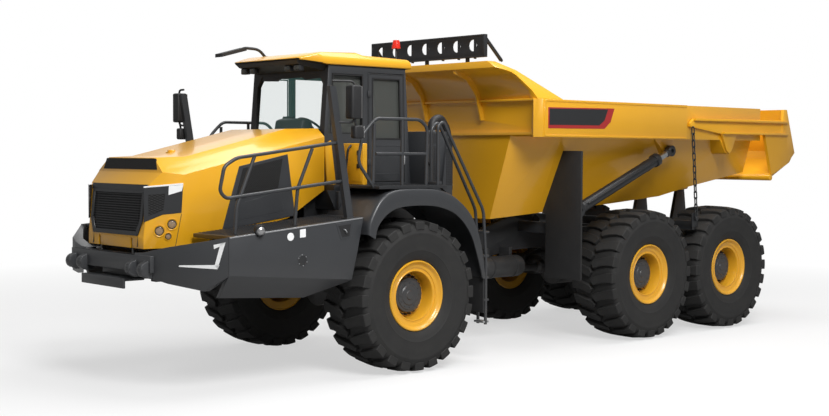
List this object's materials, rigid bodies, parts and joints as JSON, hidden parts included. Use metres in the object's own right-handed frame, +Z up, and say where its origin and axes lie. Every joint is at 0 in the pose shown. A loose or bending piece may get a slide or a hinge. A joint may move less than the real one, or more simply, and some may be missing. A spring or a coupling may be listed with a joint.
{
  "type": "articulated dump truck",
  "caption": "Six-wheel articulated dump truck with tipping bed, chain-operated tailgate, tilting hood, hinged cab door and a steering joint between front and rear chassis.",
  "frame": {"origin": "on the ground, at the middle of the truck's length and width", "axes": "+X forward, +Y to the driver's left, +Z up"},
  "size_m": [11.56, 3.5, 4.215],
  "materials": {
    "tyre_rubber": "moulded rubber, matt",
    "rim_yellow": "gloss paint",
    "body_yellow": "semi-gloss paint",
    "cab_glass": "clear, pale green",
    "guard_rubber": "matt rubber sheet",
    "beacon_red": "clear red plastic",
    "seat_fabric": "woven",
    "chassis_black": "satin paint",
    "grille_black": "perforated sheet, satin",
    "trim_black": "matt",
    "chain_steel": "satin",
    "body_grey": "satin paint"
  },
  "bodies": {
    "front_chassis": {"front_frame": "chassis_black", "front_axle": "chassis_black", "engine": "chassis_black", "front_bumper": "body_grey", "side_skirt_left": "body_grey", "side_skirt_right": "body_grey", "front_fender_left": "body_grey", "front_fender_right": "body_grey", "cab_shell": "body_grey", "cab_glass": "cab_glass", "cab_roof": "body_yellow", "seat": "seat_fabric", "dash": "trim_black", "rear_guard": "trim_black", "beacon": "beacon_red", "mirror_rail_left": "body_grey", "mirror_rail_right": "body_grey", "roof_mirror": "trim_black", "platform_left": "body_grey", "platform_right": "body_grey", "ladder": "body_grey", "cooler_box": "trim_black"},
    "hood": {"hood": "body_yellow", "grille": "grille_black"},
    "cab_door": {"cab_door": "body_grey", "door_glass": "cab_glass"},
    "hitch": {"hitch": "chassis_black"},
    "rear_chassis": {"rear_frame": "chassis_black", "middle_axle": "chassis_black", "rear_axle": "chassis_black", "walking_beams": "chassis_black"},
    "dump_bed": {"dump_bed": "body_yellow", "spill_guard": "trim_black", "bed_mud_guard_left": "guard_rubber", "bed_mud_guard_right": "guard_rubber"},
    "tailgate": {"tailgate": "body_yellow"},
    "chain_left": {"tailgate_chain_left": "chain_steel"},
    "hoist_barrel_left": {"hoist_barrel_left": "chassis_black"},
    "hoist_rod_left": {"hoist_rod_left": "chassis_black"},
    "steering_barrel_left": {"steering_barrel_left": "chassis_black"},
    "steering_rod_left": {"steering_rod_left": "chassis_black"},
    "wheel_front_left": {"tyre_front_left": "tyre_rubber", "rim_front_left": "rim_yellow"},
    "wheel_middle_left": {"tyre_middle_left": "tyre_rubber", "rim_middle_left": "rim_yellow"},
    "wheel_rear_left": {"tyre_rear_left": "tyre_rubber", "rim_rear_left": "rim_yellow"},
    "chain_right": {"tailgate_chain_right": "chain_steel"},
    "hoist_barrel_right": {"hoist_barrel_right": "chassis_black"},
    "hoist_rod_right": {"hoist_rod_right": "chassis_black"},
    "steering_barrel_right": {"steering_barrel_right": "chassis_black"},
    "steering_rod_right": {"steering_rod_right": "chassis_black"},
    "wheel_front_right": {"tyre_front_right": "tyre_rubber", "rim_front_right": "rim_yellow"},
    "wheel_middle_right": {"tyre_middle_right": "tyre_rubber", "rim_middle_right": "rim_yellow"},
    "wheel_rear_right": {"tyre_rear_right": "tyre_rubber", "rim_rear_right": "rim_yellow"}
  },
  "joints": [
    {"name": "articulation_steer", "type": "hinge", "parent": "front_chassis", "child": "hitch", "pos_m": [1.08, 0, 1.25], "axis": [0, 0, 1], "range_deg": [-45, 45]},
    {"name": "chassis_oscillation", "type": "hinge", "parent": "hitch", "child": "rear_chassis", "pos_m": [0.58, 0, 1.25], "axis": [1, 0, 0], "range_deg": [-15, 15]},
    {"name": "bed_lift", "type": "hinge", "parent": "rear_chassis", "child": "dump_bed", "pos_m": [-4.42, 0, 2.15], "axis": [0, -1, 0], "range_deg": [0, 68]},
    {"name": "tailgate_swing", "type": "hinge", "parent": "dump_bed", "child": "tailgate", "pos_m": [-3.96, 0, 2.73], "axis": [0, -1, 0], "range_deg": [-81.4, 0]},
    {"name": "chain_swing_left", "type": "hinge", "parent": "rear_chassis", "child": "chain_left", "pos_m": [-3.11, 1.676, 1.7], "axis": [0, -1, 0], "range_deg": [0, 33.4]},
    {"name": "hoist_swing_left", "type": "hinge", "parent": "rear_chassis", "child": "hoist_barrel_left", "pos_m": [-0.63, 1.5, 1.88], "axis": [0, -1, 0], "range_deg": [-9, 0]},
    {"name": "hoist_extend_left", "type": "slide", "parent": "hoist_barrel_left", "child": "hoist_rod_left", "axis": [-0.9291, 0, 0.3698], "range_m": [0, 1.996]},
    {"name": "steering_swing_left", "type": "hinge", "parent": "front_chassis", "child": "steering_barrel_left", "pos_m": [2.03, 0.56, 1.085], "axis": [0, 0, 1], "range_deg": [-8, 8]},
    {"name": "steering_extend_left", "type": "slide", "parent": "steering_barrel_left", "child": "steering_rod_left", "axis": [-0.9781, -0.2083, 0], "range_m": [-0.27, 0.27]},
    {"name": "chain_swing_right", "type": "hinge", "parent": "rear_chassis", "child": "chain_right", "pos_m": [-3.11, -1.676, 1.7], "axis": [0, -1, 0], "range_deg": [0, 33.4]},
    {"name": "hoist_swing_right", "type": "hinge", "parent": "rear_chassis", "child": "hoist_barrel_right", "pos_m": [-0.63, -1.5, 1.88], "axis": [0, -1, 0], "range_deg": [-9, 0]},
    {"name": "hoist_extend_right", "type": "slide", "parent": "hoist_barrel_right", "child": "hoist_rod_right", "axis": [-0.9291, 0, 0.3698], "range_m": [0, 1.996]},
    {"name": "steering_swing_right", "type": "hinge", "parent": "front_chassis", "child": "steering_barrel_right", "pos_m": [2.03, -0.56, 1.085], "axis": [0, 0, 1], "range_deg": [-8, 8]},
    {"name": "steering_extend_right", "type": "slide", "parent": "steering_barrel_right", "child": "steering_rod_right", "axis": [-0.9781, 0.2083, 0], "range_m": [-0.27, 0.27]},
    {"name": "hood_tilt", "type": "hinge", "parent": "front_chassis", "child": "hood", "pos_m": [5.565, 0, 1.625], "axis": [0, 1, 0], "range_deg": [0, 50]},
    {"name": "cab_door_swing", "type": "hinge", "parent": "front_chassis", "child": "cab_door", "pos_m": [2.51, 0.7912, 2.9], "axis": [0, 0, -1], "range_deg": [0, 85]},
    {"name": "wheel_front_left_roll", "type": "hinge", "parent": "front_chassis", "child": "wheel_front_left", "pos_m": [2.48, 1.37, 0.92948], "axis": [0, 1, 0], "continuous": true},
    {"name": "wheel_front_right_roll", "type": "hinge", "parent": "front_chassis", "child": "wheel_front_right", "pos_m": [2.48, -1.37, 0.92948], "axis": [0, 1, 0], "continuous": true},
    {"name": "wheel_middle_left_roll", "type": "hinge", "parent": "rear_chassis", "child": "wheel_middle_left", "pos_m": [-2, 1.37, 0.92948], "axis": [0, 1, 0], "continuous": true},
    {"name": "wheel_middle_right_roll", "type": "hinge", "parent": "rear_chassis", "child": "wheel_middle_right", "pos_m": [-2, -1.37, 0.92948], "axis": [0, 1, 0], "continuous": true},
    {"name": "wheel_rear_left_roll", "type": "hinge", "parent": "rear_chassis", "child": "wheel_rear_left", "pos_m": [-3.94, 1.37, 0.92948], "axis": [0, 1, 0], "continuous": true},
    {"name": "wheel_rear_right_roll", "type": "hinge", "parent": "rear_chassis", "child": "wheel_rear_right", "pos_m": [-3.94, -1.37, 0.92948], "axis": [0, 1, 0], "continuous": true}
  ],
  "couplings": [
    {"joint": "tailgate_swing", "follows": "bed_lift", "ratio": -1.1826},
    {"joint": "chain_swing_left", "follows": "bed_lift", "ratio": 0.4763},
    {"joint": "hoist_swing_left", "follows": "bed_lift", "ratio": -0.1171},
    {"joint": "hoist_extend_left", "follows": "bed_lift", "m_per_rad": 1.673},
    {"joint": "steering_swing_left", "follows": "articulation_steer", "ratio": 0.022},
    {"joint": "steering_extend_left", "follows": "articulation_steer", "m_per_rad": 0.31847},
    {"joint": "chain_swing_right", "follows": "bed_lift", "ratio": 0.4763},
    {"joint": "hoist_swing_right", "follows": "bed_lift", "ratio": -0.1171},
    {"joint": "hoist_extend_right", "follows": "bed_lift", "m_per_rad": 1.673},
    {"joint": "steering_swing_right", "follows": "articulation_steer", "ratio": 0.022},
    {"joint": "steering_extend_right", "follows": "articulation_steer", "m_per_rad": -0.31847}
  ]
}
